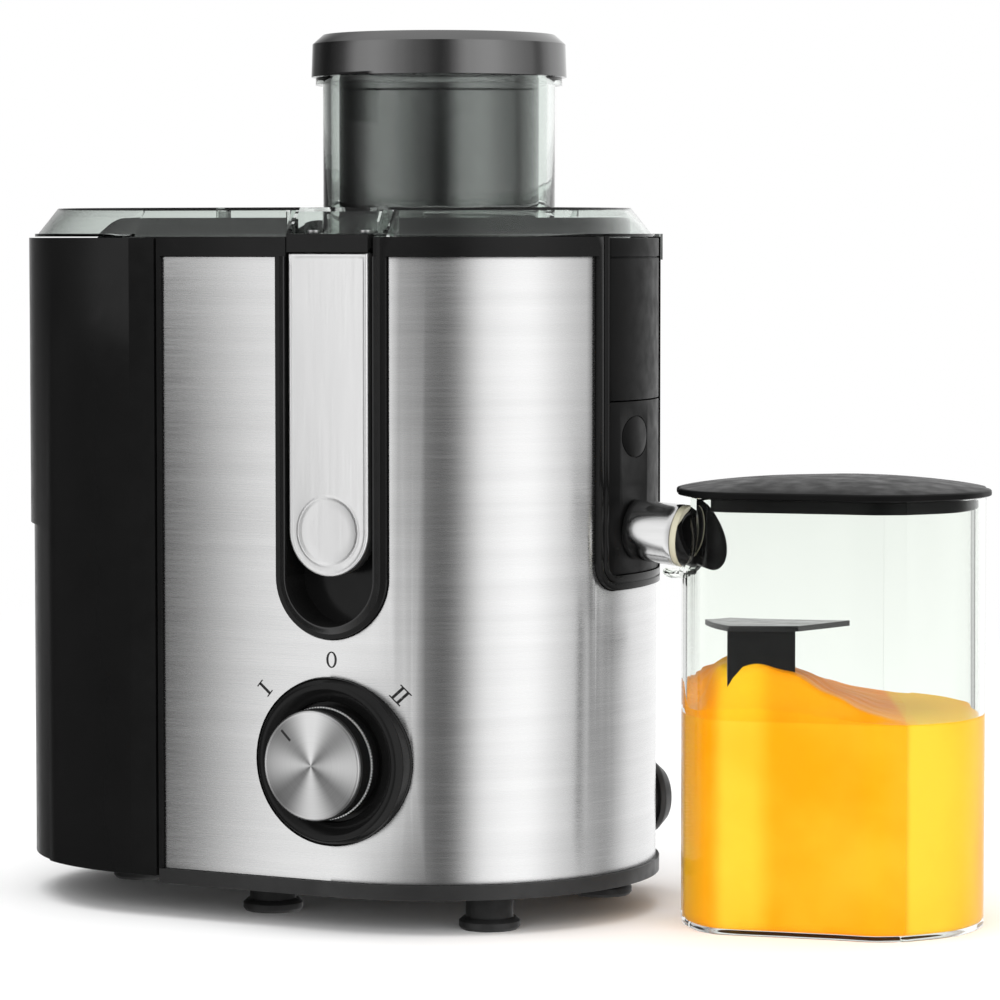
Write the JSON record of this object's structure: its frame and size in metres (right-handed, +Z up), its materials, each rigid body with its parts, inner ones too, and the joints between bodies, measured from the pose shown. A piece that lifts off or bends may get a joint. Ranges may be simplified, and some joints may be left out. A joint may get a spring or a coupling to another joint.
{
  "type": "centrifugal juicer",
  "caption": "Centrifugal juicer with a steel-wrapped oval body, clear lid and wide feed chute with pusher, side latches, speed dial, slide-off pulp bin, drip-stop spout and clear juice jug.",
  "frame": {"origin": "on the table under the centre of the whole object's footprint, jug included", "axes": "+X towards the juice spout and jug, -Y the front with the speed dial, +Z up"},
  "size_m": [0.3456, 0.1652, 0.3011],
  "materials": {
    "black_gloss": "moulded, high gloss",
    "black_matte": "moulded, fine texture",
    "grey_plastic": "moulded",
    "brown_plastic": "moulded phenolic",
    "white_plastic": "moulded",
    "blue_plastic": "moulded",
    "smoked_plastic": "dark tinted, glossy",
    "clear_smoked": "clear moulded plastic with a faint grey tint",
    "clear_plastic": "clear moulded plastic",
    "clear_rubber": "translucent",
    "rubber": "matt",
    "brushed_steel": "brushed round the body",
    "polished_steel": "polished",
    "satin_alloy": "satin",
    "cast_alloy": "as cast",
    "steel": "zinc plated",
    "iron": "varnished laminations",
    "copper": "enamelled copper",
    "bronze": "sintered bronze",
    "carbon": "graphite"
  },
  "bodies": {
    "base": {"base_plate": "black_matte", "foot_front_left": "rubber", "foot_front_right": "rubber", "foot_back_left": "rubber", "foot_back_right": "rubber", "foot_bin": "rubber", "base_screws": "steel", "housing": "black_gloss", "steel_wrap": "brushed_steel", "cord_gland": "black_matte", "motor_stator": "iron", "field_coils": "copper", "upper_bracket": "cast_alloy", "lower_bracket": "cast_alloy", "upper_bearing": "bronze", "lower_bearing": "bronze", "brush_holders": "brown_plastic", "carbon_brushes": "carbon", "motor_dampers": "rubber", "motor_screws": "steel", "shaft_seal": "rubber", "speed_switch": "white_plastic", "knob_bezel": "black_gloss", "interlock_switch": "blue_plastic", "catch_spring_front": "steel", "catch_spring_back": "steel", "juice_bowl": "smoked_plastic", "side_panel_upper": "black_gloss", "side_panel_lower": "black_gloss", "spout_tube": "black_matte", "spout_sleeve": "polished_steel", "nozzle_seal": "clear_rubber"},
    "lid": {"lid": "clear_smoked", "hinge_block_front": "black_gloss", "hinge_block_back": "black_gloss", "hinge_screws": "steel", "latch_pin_front": "steel", "latch_pin_back": "steel"},
    "front_latch": {"latch_front": "grey_plastic", "latch_plate_front": "satin_alloy"},
    "back_latch": {"latch_back": "grey_plastic", "latch_plate_back": "satin_alloy"},
    "pusher": {"pusher_body": "black_gloss", "pusher_cap": "black_gloss"},
    "rotor": {"motor_shaft": "steel", "rotor_core": "iron", "commutator": "copper", "cooling_fan": "white_plastic", "drive_coupling": "black_matte", "strainer_basket": "polished_steel", "grater_disc": "polished_steel"},
    "knob": {"knob": "black_gloss", "knob_insert": "satin_alloy"},
    "interlock": {"interlock_plunger": "white_plastic"},
    "nozzle": {"nozzle": "black_gloss"},
    "jug": {"jug": "clear_plastic", "froth_separator": "black_matte"},
    "jug_lid": {"jug_lid": "black_gloss"},
    "bin": {"pulp_bin": "black_gloss"}
  },
  "joints": [
    {"name": "lid_lift", "type": "slide", "parent": "base", "child": "lid", "axis": [0, 0, 1], "range_m": [0, 0.06]},
    {"name": "front_latch_swing", "type": "hinge", "parent": "lid", "child": "front_latch", "pos_m": [-0.0185, -0.0681, 0.2234], "axis": [-1, 0, 0], "range_deg": [0, 40], "deforming": ["catch_spring_front"]},
    {"name": "back_latch_swing", "type": "hinge", "parent": "lid", "child": "back_latch", "pos_m": [-0.0185, 0.0791, 0.2234], "axis": [1, 0, 0], "range_deg": [0, 40], "deforming": ["catch_spring_back"]},
    {"name": "pusher_lift", "type": "slide", "parent": "lid", "child": "pusher", "axis": [0, 0, 1], "range_m": [0, 0.095]},
    {"name": "rotor_spin", "type": "hinge", "parent": "base", "child": "rotor", "pos_m": [-0.0185, 0.0055, 0.16], "axis": [0, 0, 1], "continuous": true},
    {"name": "knob_turn", "type": "hinge", "parent": "base", "child": "knob", "pos_m": [-0.0185, -0.0745, 0.0572], "axis": [0, 1, 0], "range_deg": [0, 100]},
    {"name": "interlock_press", "type": "slide", "parent": "base", "child": "interlock", "axis": [0, 0, 1], "range_m": [-0.0015, 0], "stiffness_N_per_m": 200, "springref_m": 0.001},
    {"name": "nozzle_turn", "type": "hinge", "parent": "base", "child": "nozzle", "pos_m": [0.058, 0.0055, 0.1325], "axis": [0.9962, 0, -0.0872], "range_deg": [0, 180]},
    {"name": "jug_slide", "type": "slide", "parent": "base", "child": "jug", "axis": [1, 0, 0], "range_m": [0, 0.08]},
    {"name": "jug_lid_lift", "type": "slide", "parent": "jug", "child": "jug_lid", "axis": [0, 0, 1], "range_m": [0, 0.04]},
    {"name": "bin_slide", "type": "slide", "parent": "base", "child": "bin", "axis": [-1, 0, 0], "range_m": [0, 0.1]}
  ]
}
